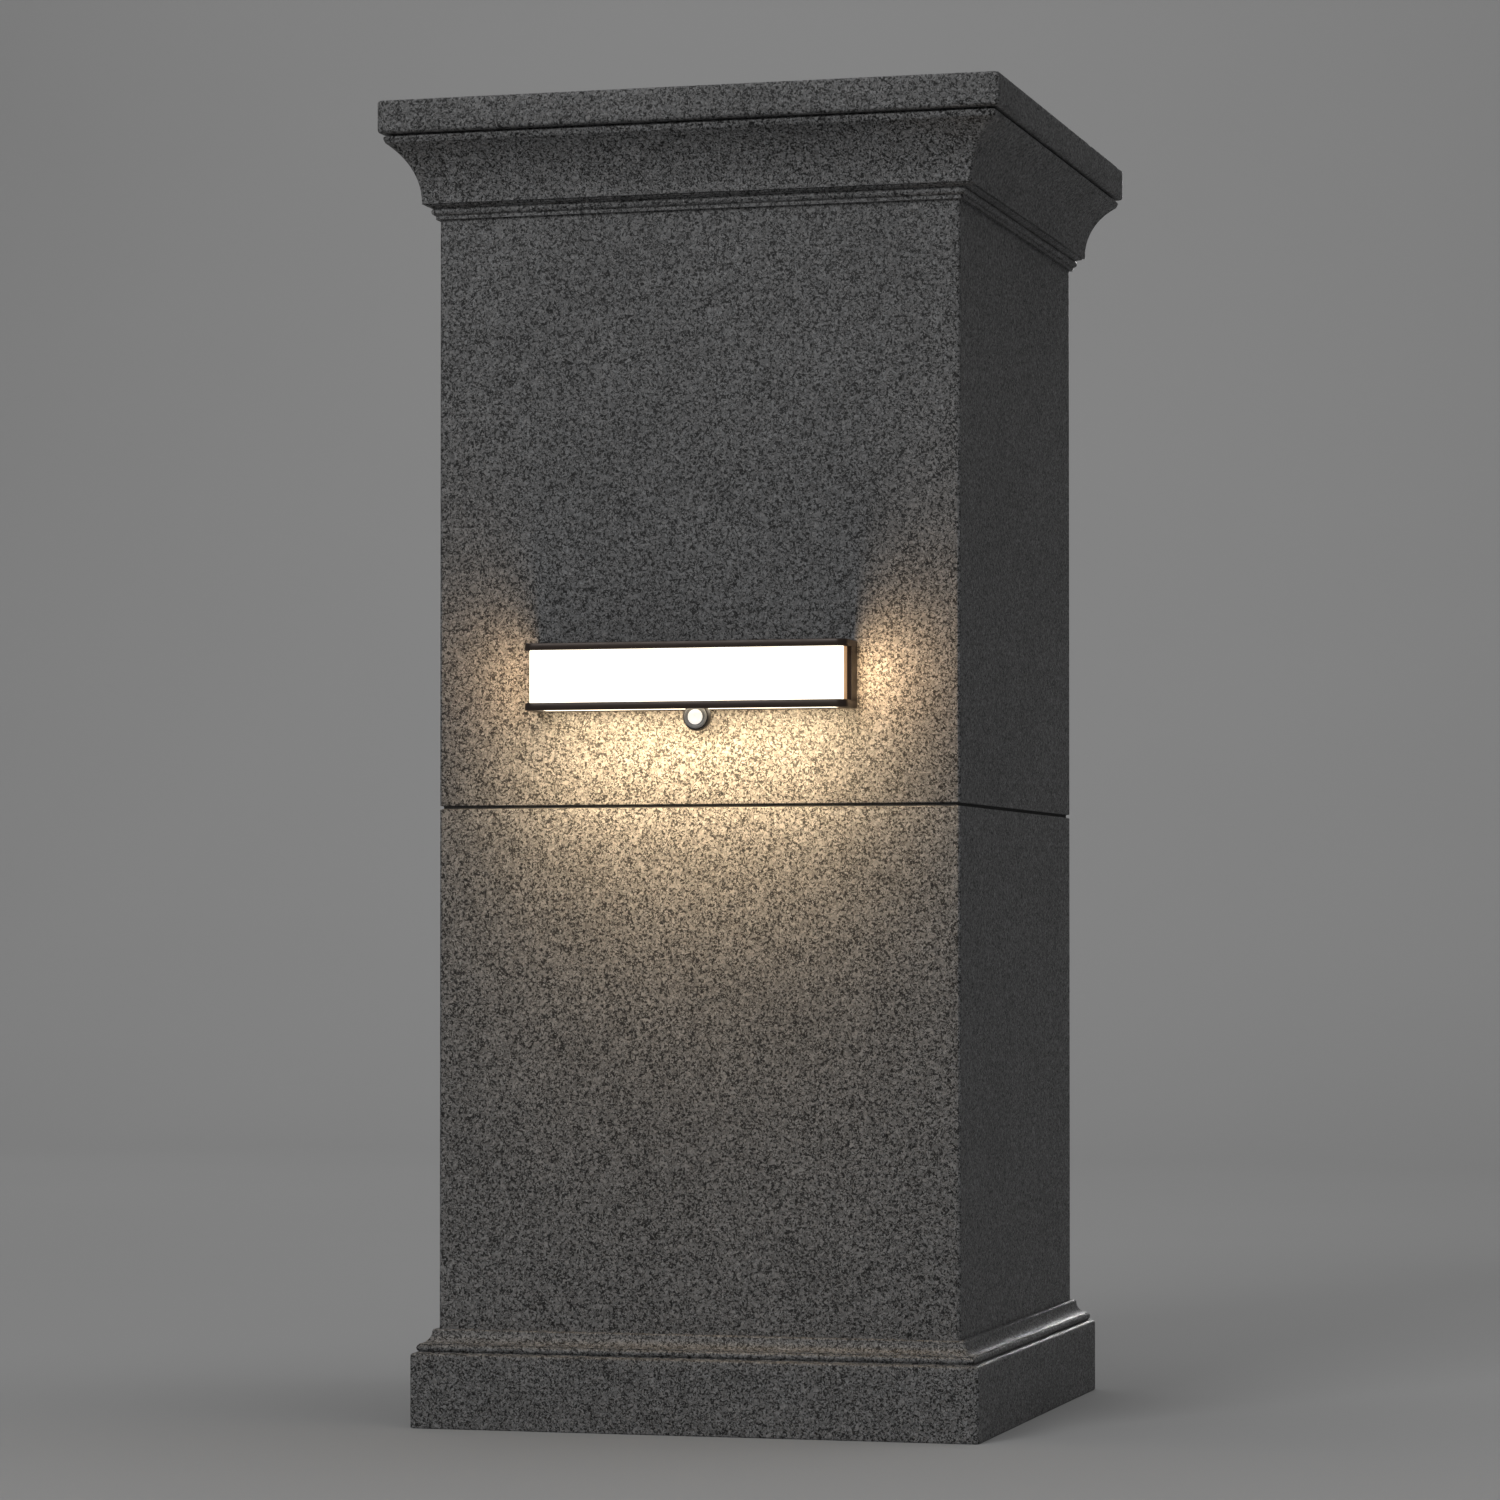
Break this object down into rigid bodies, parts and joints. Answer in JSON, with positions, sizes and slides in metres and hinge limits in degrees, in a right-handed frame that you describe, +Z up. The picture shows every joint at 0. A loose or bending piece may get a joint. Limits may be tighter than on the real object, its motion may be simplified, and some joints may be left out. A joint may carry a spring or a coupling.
{
  "type": "stone garden light pillar",
  "caption": "Square granite pillar with a moulded plinth, cove cornice and flat cap, carrying a linear wall light with an eyeball motion sensor.",
  "frame": {"origin": "centre of the underside, on the ground", "axes": "+Z up, +X to the right of the front, +Y to the back; the light is on the face that points to -Y"},
  "size_m": [0.593, 0.593, 1.238],
  "materials": {
    "granite": "honed dark granite with fine pale and black speckles",
    "pointing": "dark cement pointing",
    "steel": "galvanised",
    "rubber": "matt",
    "grey_plastic": "matt",
    "dark_metal": "satin black-brown powder coat",
    "dark_screw": "blackened",
    "opal": "opal, lit from behind",
    "tray_metal": "plain",
    "circuit": "white solder resist",
    "led": "clear yellow",
    "black_plastic": "matt dark brown",
    "ring_plastic": "satin light grey",
    "lens_plastic": "milky white"
  },
  "bodies": {
    "pillar": {"plinth_front": "granite", "plinth_right": "granite", "plinth_back": "granite", "plinth_left": "granite", "lower_front": "granite", "lower_right": "granite", "lower_back": "granite", "lower_left": "granite", "upper_front": "granite", "upper_right": "granite", "upper_back": "granite", "upper_left": "granite", "cornice_front": "granite", "cornice_right": "granite", "cornice_back": "granite", "cornice_left": "granite", "cap_slab": "granite", "bed_pointing": "pointing", "base_plate": "steel", "core_post": "steel", "base_gussets": "steel", "top_plate": "steel", "setting_pads": "rubber", "panel_ties": "steel", "tie_screws": "steel", "stone_dowels": "steel", "riser_conduit": "grey_plastic", "conduit_elbow": "grey_plastic", "outlet_tube": "grey_plastic", "conduit_clips": "grey_plastic", "wall_gasket": "rubber", "wall_plugs": "grey_plastic", "mounting_screws": "steel", "light_housing": "dark_metal", "top_rim": "dark_metal", "bottom_rim": "dark_metal", "rim_screws": "dark_screw", "diffuser": "opal", "down_lens": "opal", "tray_spacers": "steel", "led_tray": "tray_metal", "tray_screws": "steel", "led_board": "circuit", "led_chips": "led", "led_driver": "grey_plastic", "terminal_block": "grey_plastic", "cable_gland": "black_plastic", "sensor_socket": "black_plastic"},
    "swivel": {"sensor_swivel": "black_plastic", "swivel_nut": "steel"},
    "eye": {"sensor_ball": "black_plastic", "sensor_ring": "ring_plastic", "sensor_lens": "lens_plastic", "sensor_board": "circuit", "pir_element": "tray_metal", "tilt_axle": "steel"}
  },
  "joints": [
    {"name": "sensor_pan", "type": "hinge", "parent": "pillar", "child": "swivel", "pos_m": [0.008, -0.274, 0.66], "axis": [0, 0, 1], "range_deg": [-45, 45]},
    {"name": "sensor_tilt", "type": "hinge", "parent": "swivel", "child": "eye", "pos_m": [0.008, -0.274, 0.66], "axis": [1, 0, 0], "range_deg": [-5, 40]}
  ]
}
